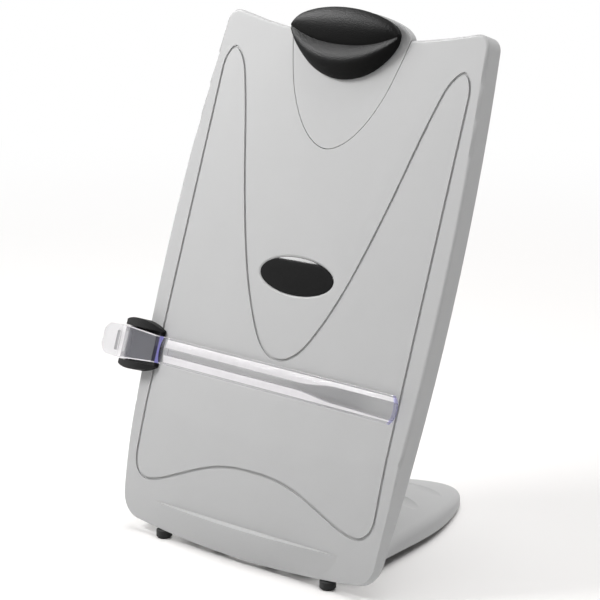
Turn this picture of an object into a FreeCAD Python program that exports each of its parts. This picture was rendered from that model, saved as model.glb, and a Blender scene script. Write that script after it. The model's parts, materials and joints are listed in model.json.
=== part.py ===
import FreeCAD, Part
import math
import os
import Sketcher
from FreeCAD import Placement, Rotation, Vector

# Driving sizes in millimetres and degrees, some of them tied to others by a formula.
# u runs across the panel, v up its face and w out of its face.
sizes = {
    # stance of the panel
    "lean": 18.7,
    "rest_gap": 5.0,
    # panel outline
    "panel_half_width": 111.2,
    "panel_height": 311.6,
    "side_bow_radius": 1440,
    "side_bow_height": "=0.54 * panel_height",
    "bottom_bow_radius": 800,
    "top_bow_radius": 437,
    "top_corner_radius": 8.5,
    "bottom_corner_radius": 16,
    "panel_depth": 12,
    "edge_radius": 1.8,
    "rear_edge_radius": 1.0,
    "wall": 2.5,
    "cover_wall": 2.2,
    "cover_clearance": 0.15,
    # lower roll of the face, and the paper shelf on the chin
    "roll_start": 85,
    "roll_root": 17,
    "roll_sink": 3.4,
    "roll_foot_sink": 6.0,
    "lower_cavity_top": 60,
    "lower_cavity_sink": 6.2,
    "rail_height": 20,
    "shelf_height": 21.3,
    "shelf_half_width": "=panel_half_width - 35.2",
    "shelf_reach": 5.4,
    # decorative groove
    "groove_half_width": "=panel_half_width - 13.2",
    "groove_line": 1.7,
    "groove_sink": 1.2,
    # sliding tongue
    "tongue_half_width": 46.5,
    "tongue_foot": "=panel_height - 66.5",
    "tongue_crown": "=panel_height + 16.4",
    "tongue_gap": 0.45,
    "tongue_head_depth": 5.0,
    "slide_gap": 0.3,
    "runner_half_width": 26,
    "runner_length": 158,
    "runner_thickness": 2.0,
    "track_wall": 2.0,
    "track_rail": 5.5,
    "track_half_width": "=runner_half_width + 23",
    "track_foot": "=panel_height - 173.6",
    "track_length": 162,
    # badge
    "badge_half_length": 29.1,
    "badge_half_height": 11.0,
    "badge_centre": "=0.54 * panel_height",
    "badge_sink": 1.3,
    "badge_gap": 0.2,
    "badge_dome": 1.2,
    # paper clip
    "clip_half_width": 42.2,
    "clip_top": "=panel_height + 16",
    "clip_lip": "=panel_height - 25.4",
    "clip_axis_v": "=panel_height + 1.4",
    "clip_axis_w": 3.4,
    "clip_crease": "=panel_height - 5.8",
    "clip_crease_rise": 7.6,
    "clip_ear_radius": 2.5,
    "pin_gap": 0.05,
    "clip_pin_radius": 1.2,
    "clip_pin_half_length": 24,
    # slider clamp and line guide
    "slider_centre": 108.2,
    "slider_height": 31.6,
    "slider_outer": "=panel_half_width + 11.8",
    "slider_inner": "=panel_half_width - 16.8",
    "slider_gap": 0.4,
    "slider_web_gap": 1.0,
    "slider_front": 9.6,
    "slider_bed": 3.6,
    "slider_jaw": 3.2,
    "slider_split": "=0.5 * panel_depth",
    "guide_gap": 0.35,
    "guide_axis_u": "=panel_half_width + 8",
    "guide_axis_w": 5.6,
    "guide_pin_radius": 1.1,
    "guide_plate": 2.4,
    "guide_top": 9.7,
    "guide_end": "=panel_half_width - 12",
    "guide_end_radius": 11,
    "guide_bend": "=panel_half_width - 18.7",
    "guide_height": 16.5,
    "guide_centre": 107.9,
    "guide_droop": 0.67,
    "guide_rise": 1.6,
    "guide_edge": 1.6,
    "guide_crown": 3.4,
    "tab_reach": "=panel_half_width + 26.9",
    "tab_height": 20.6,
    # base plate
    "hinge_y": "=panel_depth + 13.2",
    "hinge_z": 14.0,
    "hinge_radius": 5.0,
    "hinge_pin_radius": 2.0,
    "base_tilt": 1.9,
    "base_length": 167,
    "base_half_width": 76,
    "base_start": 3.0,
    "base_under": 6.6,
    "base_crown": 9.6,
    "base_crown_radius": 300,
    "base_crown_line_radius": 560,
    "base_crown_line_centre": 60,
    "base_wall": 2.5,
    "base_edge_radius": 5.0,
    "lug_inner": 38,
    "lug_width": 8,
    "ear_width": 5,
    "washer": 0.5,
    # rubber feet
    "foot_radius": 4.8,
    "foot_stem_radius": 1.8,
    "front_foot_x": 67.8,
    "front_foot_y": "=panel_depth - 2.5",
    "front_foot_top": 9.0,
    "rear_foot_x": 20,
    "rear_foot_y": 158,
    # screws
    "screw_radius": 1.4,
    "screw_head_radius": 2.7,
    "screw_head": 1.2,
}

doc = FreeCAD.newDocument("copy_holder")
sheet = doc.addObject("Spreadsheet::Sheet", "sizes")
for row, (alias, value) in enumerate(sizes.items(), start=1):
    sheet.set(f"A{row}", alias)
    sheet.set(f"B{row}", str(value))
    sheet.setAlias(f"B{row}", alias)
doc.recompute()


def size(alias):
    return float(sheet.get(alias))


lean = math.radians(size("lean"))
panel_frame = Placement(Vector(0, 0, size("rest_gap")), Rotation(Vector(1, 0, 0), 90 - size("lean")))
base_frame = Placement(Vector(0, size("hinge_y"), size("hinge_z")), Rotation(Vector(1, 0, 0), -size("base_tilt")))
nodes = []


def keep(part, frame):
    """A finished sub-part, with the frame that its shape was drawn in."""
    part.Placement = frame.multiply(part.Placement)
    nodes.append(part)
    return part


def feature(label, shape, frame):
    part = doc.addObject("Part::Feature", label)
    part.Shape = shape
    return keep(part, frame)


# Shapes that several sub-parts use
def box(u0, u1, v0, v1, w0, w1):
    return Part.makeBox(u1 - u0, v1 - v0, w1 - w0, Vector(u0, v0, w0))


def rod(radius, start, end):
    axis = end - start
    return Part.makeCylinder(radius, axis.Length, start, axis)


def arc(a, b, c):
    return Part.Arc(a, b, c).toShape()


def line(a, b):
    return Part.LineSegment(a, b).toShape()


def flat(u, v, w=0.0):
    return Vector(u, v, w)


def spline(points, start, end):
    curve = Part.BSplineCurve()
    curve.interpolate(Points=points, InitialTangent=start.normalize(), FinalTangent=end.normalize(), Scale=False)
    return curve.toShape()


def both_halves(points, start, end):
    """A curve from the right side to the middle line, with its mirror image on the left."""
    half = spline(points, start, end)
    return [half, half.mirror(Vector(0, 0, 0), Vector(1, 0, 0))]


def wire(edges):
    return Part.Wire(Part.__sortEdges__(edges))


def prism(edges, low, high):
    face = Part.Face(wire(edges))
    face.translate(Vector(0, 0, low))
    return face.extrude(Vector(0, 0, high - low))


def side_prism(points, half_width):
    """A closed outline in the v-w plane, as wide as twice half_width across u."""
    loop = [Vector(-half_width, v, w) for v, w in points]
    return Part.Face(Part.makePolygon(loop + loop[:1])).extrude(Vector(2 * half_width, 0, 0))


def ellipsoid(centre, radii):
    ball = Part.makeSphere(1.0)
    grow = FreeCAD.Matrix()
    grow.scale(*radii)
    grow.move(centre)
    return ball.transformGeometry(grow)


def union(shapes):
    return shapes[0].fuse(shapes[1:]).removeSplitter()


def screw(length, seat):
    """A pan-head screw whose head sits on w = 0 at seat and whose shank runs into the panel."""
    radius = size("screw_radius")
    head = Part.makeCylinder(size("screw_head_radius"), size("screw_head"), Vector(0, 0, -size("screw_head")))
    drive = Part.makeBox(2.4, 0.6, 0.6, Vector(-1.2, -0.3, -size("screw_head")))
    shank = Part.makeCylinder(radius, length - radius)
    tip = Part.makeCone(radius, 0.3, radius, Vector(0, 0, length - radius))
    whole = union([head, shank, tip]).cut(drive)
    whole.translate(seat)
    return whole


# Panel outline: four bowed edges that meet in rounded corners, all moved in by inset
def bottom_line(x, inset=0.0):
    radius = size("bottom_bow_radius")
    return radius - math.sqrt((radius - inset) ** 2 - x ** 2)


def top_line(x, inset=0.0):
    radius = size("top_bow_radius")
    return size("panel_height") + radius - math.sqrt((radius + inset) ** 2 - x ** 2)


def side_line(v, inset=0.0):
    radius = size("side_bow_radius")
    return size("panel_half_width") - radius + math.sqrt((radius - inset) ** 2 - (v - size("side_bow_height")) ** 2)


def bowed_corner(height_at, inset):
    x = size("panel_half_width")
    for _ in range(12):
        x = side_line(height_at(x, inset), inset)
    return flat(x, height_at(x, inset))


def panel_edges(inset):
    low = bowed_corner(bottom_line, inset)
    high = bowed_corner(top_line, inset)
    side = flat(size("panel_half_width") - inset, size("side_bow_height"))
    low_left = flat(-low.x, low.y)
    high_left = flat(-high.x, high.y)
    side_left = flat(-side.x, side.y)
    return [
        arc(low_left, flat(0, inset), low),
        arc(low, side, high),
        arc(high, flat(0, size("panel_height") - inset), high_left),
        arc(high_left, side_left, low_left),
    ]


def corner_edges(solid, above):
    """The corner edges of a prism along w, on one side of a height."""
    found = []
    for edge in solid.Edges:
        direction = edge.tangentAt(edge.FirstParameter)
        middle = edge.CenterOfMass
        if abs(abs(direction.z) - 1) < 1e-6 and (middle.y > size("side_bow_height")) == above:
            found.append(edge)
    return found


def rim_edges(solid, level):
    return [e for e in solid.Edges if all(abs(p.Point.z - level) < 1e-6 for p in e.Vertexes)
            and abs(e.CenterOfMass.z - level) < 1e-6]


def panel_block(inset, low, high):
    """The panel outline moved in by inset, as a block between two depths."""
    block = prism(panel_edges(inset), low, high)
    block = block.makeFillet(size("top_corner_radius") - inset, corner_edges(block, True))
    return block.makeFillet(size("bottom_corner_radius") - inset, corner_edges(block, False))


# Tongue outline: a round-ended U with a crowned head
def tongue_edges(gap=0.0):
    half = size("tongue_half_width") + gap
    foot = size("tongue_foot") - gap
    bowl = [flat(half, foot + 68.4), flat(0.916 * half, foot + 54), flat(0.776 * half, foot + 35.1),
            flat(0.617 * half, foot + 21.2), flat(0.376 * half, foot + 7.9), flat(0, foot)]
    crown = size("tongue_crown") + gap
    head = [flat(half, foot + 68.4), flat(0.925 * half, crown - 9.2), flat(0.766 * half, crown - 5.4),
            flat(0.43 * half, crown - 1.5), flat(0, crown)]
    to_middle = Vector(-1, 0, 0)
    return both_halves(bowl, Vector(-0.22, -1, 0), to_middle) + both_halves(head, Vector(0.1, 1, 0), to_middle)


# Groove loop: straight sides, a wave above the chin and a deep V between the upper ends
def shifted(points, start, end, offset):
    """The points of a curve moved square to its run, to the left of travel by offset."""
    runs = [start] + [b - a for a, b in zip(points, points[2:])] + [end]
    return [p + Vector(-run.y, run.x, 0).normalize() * offset for p, run in zip(points, runs)]


def groove_edges(offset):
    side = size("groove_half_width")
    top = size("panel_height")
    low, high = 46.0, top - 31.6
    wave = [(1, low), (0.983, 37), (0.918, 31.2), (0.816, 31), (0.691, 34.8), (0.531, 41), (0.367, 46.6),
            (0.184, 50.2), (0, 51)]
    vee = [(1, 31.6), (0.984, 18.6), (0.932, 13), (0.869, 16.6), (0.794, 30.1), (0.698, 58.9), (0.612, 87.8),
           (0.516, 116.6), (0.404, 145.6), (0.251, 174.6), (0.102, 190.6), (0, 193.4)]
    wave = [flat(share * side, v) for share, v in wave]
    vee = [flat(share * side, top - drop) for share, drop in vee]
    up, down, to_middle = Vector(0, 1, 0), Vector(0, -1, 0), Vector(-1, 0, 0)
    side += offset
    return (both_halves(shifted(wave, down, to_middle, offset), down, to_middle)
            + both_halves(shifted(vee, up, to_middle, -offset), up, to_middle)
            + [line(flat(side, low), flat(side, high)), line(flat(-side, high), flat(-side, low))])


def ellipse_edges(half_length, half_height, centre_v):
    return [Part.Ellipse(flat(0, centre_v), half_length, half_height).toShape()]


# Front shell
def face_roll():
    """Everything in front of the face's lower roll, which follows the bowed bottom edge."""
    centre = size("bottom_bow_radius")
    start = size("roll_start")
    root = size("roll_root")
    sink = size("roll_sink")
    foot = size("roll_foot_sink")

    def at(height, w):
        return Vector(0, height, w)

    slope = arc(at(start, 0.35), at(0.6 * start, -0.24 * sink), at(root, -sink))
    bend = Part.BezierCurve()
    bend.setPoles([at(root, -sink), at(0, -sink - 0.13 * root), at(0, -foot)])
    corner = [at(0, -foot), at(-12, -foot), at(-12, 8), at(start, 8), at(start, 0.35)]
    rest = [line(a, b) for a, b in zip(corner, corner[1:])]
    face = Part.Face(Part.Wire([slope, bend.toShape()] + rest))
    sweep = 24.0
    face.rotate(Vector(0, centre, 0), Vector(0, 0, 1), -sweep / 2)
    return face.revolve(Vector(0, centre, 0), Vector(0, 0, 1), sweep)


def roll_depth(height):
    """How deep the rolled face lies at a height above the bowed bottom edge, near the chin."""
    root = size("roll_root")
    sink = size("roll_sink")
    if height > root:
        return 0.1 * (height - root) - sink
    t = 1 - math.sqrt(height / root)
    return -sink * (1 - t) ** 2 - 2 * t * (1 - t) * (sink + 0.13 * root) - size("roll_foot_sink") * t ** 2


def chin_section(u):
    """The chin across one u, a little higher than the shelf: its front runs back into the face at the foot."""
    share = max(1 - (u / size("shelf_half_width")) ** 2, 0)
    sunk = 0.15
    low = bottom_line(u)
    rise = (size("shelf_height") - size("rest_gap")) / math.cos(lean) - low
    inner = -9.0
    front = []
    for t in (0.02, 0.2, 0.42, 0.64, 0.84, 1.0, 1.16):
        swell = (1 - max(1 - t, 0) ** 1.6) * share ** (2 - t)
        front.append(Vector(u, low + t * rise, roll_depth(t * rise) - sunk + size("shelf_reach") * swell))
    curve = Part.BSplineCurve()
    curve.interpolate(Points=front)
    back = Vector(u, front[-1].y, inner)
    foot = Vector(u, front[0].y, inner)
    return Part.Wire([curve.toShape(), line(front[-1], back), line(back, foot), line(foot, front[0])])


def chin():
    """The bulge below the face: a level shelf whose front swells out of the face and sinks back into it."""
    reach = size("shelf_half_width")
    sections = [chin_section(share * reach) for share in (-1, -0.93, -0.78, -0.52, -0.26, 0, 0.26, 0.52, 0.78, 0.93, 1)]
    above = box(-150, 150, -60, 60, size("shelf_height"), 90)
    above.Placement = panel_frame.inverse()
    solid = Part.makeLoft(sections, True).cut(above)
    return solid.common(panel_block(0.2, -size("panel_depth") + 3, 40))


def outer_shell():
    block = panel_block(0, -size("panel_depth"), 0)
    block = block.makeFillet(size("edge_radius"), rim_edges(block, 0))
    block = block.makeFillet(size("rear_edge_radius"), rim_edges(block, -size("panel_depth")))
    return block.cut(face_roll()).fuse(chin()).removeSplitter()


def cover_screw_places():
    u = size("panel_half_width") - 27.2
    return [flat(side * u, v) for side in (-1, 1) for v in (44, size("side_bow_height"), size("panel_height") - 27.6)]


def track_screw_places():
    u = size("runner_half_width") + 14
    return [flat(side * u, size("track_foot") + rise) for side in (-1, 1) for rise in (20, 98)]


def front_foot_places():
    return [(name, Vector(side * size("front_foot_x"), size("front_foot_y"), 0))
            for name, side in (("left", -1), ("right", 1))]


def rear_foot_places():
    return [(name, Vector(side * size("rear_foot_x"), size("rear_foot_y"), 0))
            for name, side in (("left", -1), ("right", 1))]


def foot_room(place, top, clearance):
    """The upright space that a rubber foot and its stem take in what holds them."""
    head = size("foot_radius") + clearance
    stem = size("foot_stem_radius") + size("pin_gap")
    room = rod(head, place, place + Vector(0, 0, 0.55 * top)).fuse(
        rod(stem, place, place + Vector(0, 0, top + 0.05)))
    return room


def front_foot_rooms():
    rooms = [foot_room(place, size("front_foot_top"), 0.15) for _, place in front_foot_places()]
    for room in rooms:
        room.Placement = panel_frame.inverse().multiply(room.Placement)
    return rooms


def front_shell():
    outer = outer_shell()
    wall = size("wall")
    depth = size("panel_depth")
    seat = depth - size("cover_wall")
    cavity = panel_block(wall + 1.2, -depth - 1, -wall).common(
        box(-200, 200, size("lower_cavity_top"), 500, -depth - 1, 0))
    lower = panel_block(wall + 1.2, -depth - 1, -size("lower_cavity_sink")).common(
        box(-200, 200, size("rail_height"), size("lower_cavity_top") + 1, -depth - 1, 0))
    rabbet = panel_block(wall, -depth - 1, -seat)
    shell = outer.cut(cavity.fuse([lower, rabbet]))
    bosses = [rod(4.0, p + Vector(0, 0, -seat), p + Vector(0, 0, -wall + 0.5)) for p in cover_screw_places()]
    low_track = wall + size("slide_gap") + size("runner_thickness") + size("slide_gap")
    bosses += [rod(3.4, p + Vector(0, 0, -low_track), p + Vector(0, 0, -wall + 0.5)) for p in track_screw_places()]
    shell = shell.fuse(bosses)
    radius = size("screw_radius") + size("pin_gap")
    holes = [rod(radius, p + Vector(0, 0, -seat - 1), p + Vector(0, 0, -wall + 0.2)) for p in cover_screw_places()]
    holes += [rod(radius, p + Vector(0, 0, -low_track - 1), p + Vector(0, 0, -0.9)) for p in track_screw_places()]
    shell = shell.cut(holes)
    gap = size("tongue_gap")
    slot_sink = size("tongue_head_depth") + size("slide_gap")
    reach = union([box(-100, 100, 0, 500, -wall - 0.2, 5),
                   box(-100, 100, size("panel_height") - 12, 500, -slot_sink, 5)])
    mouth = prism(tongue_edges(gap), -slot_sink - 1, 6).common(reach)
    shell = shell.cut(mouth)
    half_line = 0.5 * size("groove_line")
    ring = prism(groove_edges(half_line), -depth, 2).cut(prism(groove_edges(-half_line), -depth - 1, 3))
    sunk = outer.copy()
    sunk.translate(Vector(0, 0, -size("groove_sink")))
    shell = shell.cut(ring.cut(sunk).common(box(-200, 200, 0, 500, -5, 2)))
    badge = size("badge_half_length") + size("badge_gap")
    badge_height = size("badge_half_height") + size("badge_gap")
    recess = prism(ellipse_edges(badge, badge_height, size("badge_centre")), -size("badge_sink"), 1)
    brim = [Part.Wire(ellipse_edges(badge + grow, badge_height + grow, size("badge_centre"))) for grow in (0, 1.3)]
    brim[0].translate(Vector(0, 0, -0.6))
    brim[1].translate(Vector(0, 0, 0.05))
    shell = shell.cut([recess, Part.makeLoft(brim, True)])
    return shell.cut(front_foot_rooms()).removeSplitter()


# Rear cover with the ears of the base hinge
def hinge_axis_in_panel():
    point = Vector(0, size("hinge_y"), size("hinge_z"))
    return panel_frame.inverse().multVec(point)


def ear_spans():
    inner = size("lug_inner")
    outer = inner + size("lug_width")
    gap = size("washer")
    return [(inner - gap - size("ear_width"), inner - gap), (outer + gap, outer + gap + size("ear_width"))]


def hinge_ear(u0, u1):
    axis = hinge_axis_in_panel()
    radius = size("hinge_radius")
    depth = size("panel_depth")
    start = Vector(u0, axis.y, axis.z)
    barrel = rod(radius, start, start + Vector(u1 - u0, 0, 0))
    root = box(u0, u1, axis.y - radius, axis.y + radius, axis.z, -depth + 0.4)
    return union([barrel, root])


def rear_cover():
    depth = size("panel_depth")
    seat = depth - size("cover_wall")
    plate = panel_block(size("wall") + size("cover_clearance"), -depth, -seat)
    ears = []
    for u0, u1 in ear_spans():
        ears += [hinge_ear(u0, u1), hinge_ear(-u1, -u0)]
    ribs = [box(-70, 70, v, v + 1.6, -seat, -seat + 1.6) for v in (75, 100)]
    cover = union([plate] + ears + ribs)
    shank = size("screw_radius") + 0.25
    head = size("screw_head_radius") + 0.25
    holes = []
    for place in cover_screw_places():
        holes.append(rod(shank, place + Vector(0, 0, -depth - 1), place + Vector(0, 0, -seat + 1)))
        holes.append(rod(head, place + Vector(0, 0, -depth - 1), place + Vector(0, 0, -depth + size("screw_head"))))
    axis = hinge_axis_in_panel()
    bore = size("hinge_pin_radius") + size("pin_gap")
    reach = size("lug_inner") + size("lug_width") + 20
    holes.append(rod(bore, Vector(-reach, axis.y, axis.z), Vector(reach, axis.y, axis.z)))
    return cover.cut(holes + front_foot_rooms()).removeSplitter()


def cover_screws():
    seat = -size("panel_depth") + size("screw_head")
    return Part.makeCompound([screw(6.0, p + Vector(0, 0, seat)) for p in cover_screw_places()])


# Badge: a domed oval
def badge_insert():
    half_length = size("badge_half_length")
    half_height = size("badge_half_height")
    centre = size("badge_centre")
    slab = prism(ellipse_edges(half_length, half_height, centre), -size("badge_sink"), 4)
    dome = ellipsoid(flat(0, centre, -4.2), (1.6 * half_length, 1.6 * half_height, 4.2 + size("badge_dome")))
    return slab.common(dome)


# Sliding tongue with the ears that carry the clip
def tongue_plate():
    wall = size("wall")
    plate = prism(tongue_edges(), -wall, 0)
    head_low = size("panel_height") - 2.4
    head = prism(tongue_edges(), -size("tongue_head_depth"), 0).common(
        box(-100, 100, head_low, 500, -20, 1))
    seat = wall + size("slide_gap")
    spine = box(-14, 14, size("tongue_foot") + 8, head_low + 0.5, -seat, -wall + 0.2)
    axis_v = size("clip_axis_v")
    axis_w = size("clip_axis_w")
    radius = size("clip_ear_radius")
    ears = []
    for u0, u1 in ((-19, -15), (15, 19)):
        ears.append(rod(radius, Vector(u0, axis_v, axis_w), Vector(u1, axis_v, axis_w)))
        ears.append(box(u0, u1, axis_v - radius, axis_v + radius, -0.5, axis_w))
    plate = union([plate, head, spine] + ears)
    plate = plate.cut(rod(size("clip_pin_radius") + size("pin_gap"), Vector(-30, axis_v, axis_w),
                          Vector(30, axis_v, axis_w)))
    holes = [rod(size("screw_radius") + size("pin_gap"), p + Vector(0, 0, -seat - 1), p + Vector(0, 0, -0.8))
             for p in runner_screw_places()]
    return plate.cut(holes).removeSplitter()


def runner_screw_places():
    return [flat(side * 10, size("tongue_foot") + rise) for side in (-1, 1) for rise in (18, 54)]


def runner_screws():
    level = -size("wall") - size("slide_gap") - size("runner_thickness") + 0.9
    places = [p + Vector(0, 0, level) for p in runner_screw_places()]
    return Part.makeCompound([short_screw(p) for p in places])


def short_screw(seat):
    head = Part.makeCylinder(2.6, 0.8, Vector(0, 0, -0.8))
    shank = Part.makeCylinder(size("screw_radius"), 2.6)
    drive = Part.makeBox(2.2, 0.5, 0.4, Vector(-1.1, -0.25, -0.8))
    whole = union([head, shank]).cut(drive)
    whole.translate(seat)
    return whole


# Sketch helpers for the bodies that are padded and pocketed
def origin_plane(body, role):
    return next(f for f in body.Origin.OriginFeatures if f.Role == role)


def new_sketch(body, label, level="0"):
    sketch = body.newObject("Sketcher::SketchObject", label)
    sketch.AttachmentSupport = [(origin_plane(body, "XY_Plane"), "")]
    sketch.MapMode = "FlatFace"
    sketch.setExpression("AttachmentOffset.Base.z", level)
    return sketch


def add_rectangle(sketch, left, low, width, height):
    """A rectangle held by expressions for its lower left corner and its two sides."""
    first = sketch.GeometryCount
    corners = [Vector(0, 0, 0), Vector(9, 0, 0), Vector(9, 9, 0), Vector(0, 9, 0)]
    for index in range(4):
        sketch.addGeometry(Part.LineSegment(corners[index], corners[(index + 1) % 4]), False)
    rules = [Sketcher.Constraint("Coincident", first + i, 2, first + (i + 1) % 4, 1) for i in range(4)]
    rules += [Sketcher.Constraint("Horizontal", first), Sketcher.Constraint("Vertical", first + 1),
              Sketcher.Constraint("Horizontal", first + 2), Sketcher.Constraint("Vertical", first + 3)]
    sketch.addConstraint(rules)
    held = [("DistanceX", -1, 1, first, 1, left), ("DistanceY", -1, 1, first, 1, low),
            ("DistanceX", first, 1, first, 2, width), ("DistanceY", first + 1, 1, first + 1, 2, height)]
    for kind, geo_a, point_a, geo_b, point_b, rule in held:
        index = sketch.addConstraint(Sketcher.Constraint(kind, geo_a, point_a, geo_b, point_b, 1.0))
        sketch.setExpression(f"Constraints[{index}]", rule)


def add_circle(sketch, x, y, radius):
    geo = sketch.addGeometry(Part.Circle(Vector(1, 1, 0), Vector(0, 0, 1), 1.0), False)
    held = [("DistanceX", x), ("DistanceY", y)]
    for kind, rule in held:
        index = sketch.addConstraint(Sketcher.Constraint(kind, -1, 1, geo, 3, 1.0))
        sketch.setExpression(f"Constraints[{index}]", rule)
    index = sketch.addConstraint(Sketcher.Constraint("Radius", geo, 1.0))
    sketch.setExpression(f"Constraints[{index}]", radius)


def pad(body, sketch, length, down=False):
    feature_pad = body.newObject("PartDesign::Pad", sketch.Label + "_pad")
    feature_pad.Profile = sketch
    feature_pad.Reversed = down
    feature_pad.setExpression("Length", length)
    return feature_pad


def pocket(body, sketch, length, up=False):
    feature_pocket = body.newObject("PartDesign::Pocket", sketch.Label + "_pocket")
    feature_pocket.Profile = sketch
    feature_pocket.Reversed = up
    feature_pocket.setExpression("Length", length)
    return feature_pocket


# Runner: the strip behind the tongue that stays in the track when the tongue is drawn out
def tongue_runner():
    body = doc.addObject("PartDesign::Body", "tongue_runner")
    top = "(sizes.panel_height - 2.7)"
    strip = new_sketch(body, "runner_strip", "-(sizes.wall + sizes.slide_gap + sizes.runner_thickness)")
    add_rectangle(strip, "-sizes.runner_half_width", f"{top} - sizes.runner_length",
                  "2 * sizes.runner_half_width", "sizes.runner_length")
    pad(body, strip, "sizes.runner_thickness")
    holes = new_sketch(body, "runner_holes", "-(sizes.wall + sizes.slide_gap + sizes.runner_thickness)")
    for side in ("-10", "10"):
        for rise in ("18", "54"):
            add_circle(holes, side, f"sizes.tongue_foot + {rise}", "sizes.screw_radius + sizes.pin_gap")
    pocket(body, holes, "sizes.runner_thickness + 1", True)
    heads = new_sketch(body, "runner_head_seats", "-(sizes.wall + sizes.slide_gap + sizes.runner_thickness)")
    for side in ("-10", "10"):
        for rise in ("18", "54"):
            add_circle(heads, side, f"sizes.tongue_foot + {rise}", "2.8")
    pocket(body, heads, "0.9", True)
    notch = new_sketch(body, "runner_notch", "-(sizes.wall + sizes.slide_gap + sizes.runner_thickness)")
    add_rectangle(notch, "-5", f"{top} - sizes.runner_length + 26", "10", "3")
    pocket(body, notch, "0.5", True)
    return body


# Track: a channel behind the runner, held to the front shell
def tongue_track():
    body = doc.addObject("PartDesign::Body", "tongue_track")
    floor = "-(sizes.wall + 2 * sizes.slide_gap + sizes.runner_thickness + sizes.track_wall)"
    base = new_sketch(body, "track_floor", floor)
    add_rectangle(base, "-sizes.track_half_width", "sizes.track_foot", "2 * sizes.track_half_width",
                  "sizes.track_length")
    pad(body, base, "sizes.track_wall")
    rails = new_sketch(body, "track_rails", floor)
    for left in ("-(sizes.runner_half_width + sizes.slide_gap + sizes.track_rail)",
                 "sizes.runner_half_width + sizes.slide_gap"):
        add_rectangle(rails, left, "sizes.track_foot", "sizes.track_rail", "sizes.track_length")
    pad(body, rails, "sizes.track_wall + sizes.runner_thickness + 2 * sizes.slide_gap")
    holes = new_sketch(body, "track_holes", floor)
    for rise in ("20", "98"):
        for side in ("-1", "1"):
            add_circle(holes, f"{side} * (sizes.runner_half_width + 14)", f"sizes.track_foot + {rise}",
                       "sizes.screw_radius + 0.2")
    pocket(body, holes, "sizes.track_wall + 1", True)
    window = new_sketch(body, "track_window", floor)
    add_rectangle(window, "-6", "sizes.track_foot + 30", "12", "16")
    pocket(body, window, "sizes.track_wall + 1", True)
    return body


def track_screws():
    level = -(size("wall") + 2 * size("slide_gap") + size("runner_thickness") + size("track_wall"))
    screws = []
    for place in track_screw_places():
        whole = union([Part.makeCylinder(2.6, 1.0, Vector(0, 0, -1.0)), Part.makeCylinder(size("screw_radius"), 5.6)])
        whole = whole.cut(Part.makeBox(2.2, 0.5, 0.5, Vector(-1.1, -0.25, -1.0)))
        whole.translate(place + Vector(0, 0, level))
        screws.append(whole)
    return Part.makeCompound(screws)


def strip(points, thickness, half_width):
    """A bent leaf of even thickness: points are its centre line in v and w."""
    normals = []
    for a, b in zip(points, points[1:]):
        run = Vector(0, b[0] - a[0], b[1] - a[1]).normalize()
        normals.append(Vector(0, -run.z, run.y))
    upper, lower = [], []
    for index, (v, w) in enumerate(points):
        before = normals[max(index - 1, 0)]
        after = normals[min(index, len(normals) - 1)]
        middle = (before + after).normalize()
        reach = 0.5 * thickness / middle.dot(after)
        upper.append((v + middle.y * reach, w + middle.z * reach))
        lower.append((v - middle.y * reach, w - middle.z * reach))
    return side_prism(upper + lower[::-1], half_width)


def detent_spring():
    """A leaf on the back of the track, whose nose reaches through the window towards the runner."""
    back = -(size("wall") + 2 * size("slide_gap") + size("runner_thickness") + size("track_wall"))
    nose = -(size("wall") + size("slide_gap") + size("runner_thickness")) - 0.25
    foot = size("track_foot") + 12
    points = [(foot, back - 0.2), (foot + 17, back - 0.2), (foot + 20.5, back - 0.2), (foot + 25, nose - 0.2),
              (foot + 27, nose - 0.2), (foot + 31.5, back - 0.2), (foot + 33, back - 0.2)]
    return strip(points, 0.4, 4.0)


# Clip lever: a swelling lower lobe, a fold, and an upper lobe that flares out for the thumb
clip_stations = [
    {"u": 0.0, "lip": 0.0, "fold": 0.0, "top": 0.0, "swell": 11.0, "flare": 12.5, "edge": 9.6, "under": 7.2},
    {"u": 0.27, "lip": 1.4, "fold": 0.4, "top": 0.5, "swell": 10.8, "flare": 12.2, "edge": 9.4, "under": 7.0},
    {"u": 0.55, "lip": 5.9, "fold": 2.0, "top": 2.2, "swell": 10.0, "flare": 11.4, "edge": 8.8, "under": 6.4},
    {"u": 0.78, "lip": 13.0, "fold": 4.6, "top": 4.9, "swell": 8.9, "flare": 10.2, "edge": 8.2, "under": 5.4},
    {"u": 0.92, "lip": 19.2, "fold": 6.7, "top": 8.0, "swell": 8.0, "flare": 9.0, "edge": 7.7, "under": 4.4},
    {"u": 1.0, "lip": 24.7, "fold": 7.9, "top": 12.2, "swell": 7.3, "flare": 7.9, "edge": 7.2, "under": 3.7},
]


def clip_section(station, side):
    u = side * station["u"] * size("clip_half_width")
    lip = size("clip_lip") + station["lip"]
    fold = size("clip_crease") + station["fold"]
    top = size("clip_top") - station["top"]
    rise = size("clip_crease_rise") - 0.3 * station["u"]
    low = 1.35 + 2.2 * station["u"] ** 6
    lip_rise = low + 1.1

    def at(v, w):
        return Vector(u, v, w)

    def between(a, b, share):
        return a + share * (b - a)

    lower = Part.BSplineCurve()
    lower.interpolate(Points=[at(lip, lip_rise), at(between(lip, fold, 0.16), between(lip_rise, station["swell"], 0.58)),
                              at(between(lip, fold, 0.5), station["swell"]),
                              at(between(lip, fold, 0.78), between(station["swell"], rise, 0.34)), at(fold, rise)])
    upper = Part.BSplineCurve()
    upper.interpolate(Points=[at(fold, rise), at(between(fold, top, 0.26), between(rise, station["flare"], 0.7)),
                              at(between(fold, top, 0.56), station["flare"]), at(top, station["edge"])])
    under = Part.BSplineCurve()
    under.interpolate(Points=[at(top, station["under"]), at(between(lip, top, 0.55), between(low, station["under"], 0.3)),
                              at(lip, low)])
    return Part.Wire([lower.toShape(), upper.toShape(), line(at(top, station["edge"]), at(top, station["under"])),
                      under.toShape(), line(at(lip, low), at(lip, lip_rise))])


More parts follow.
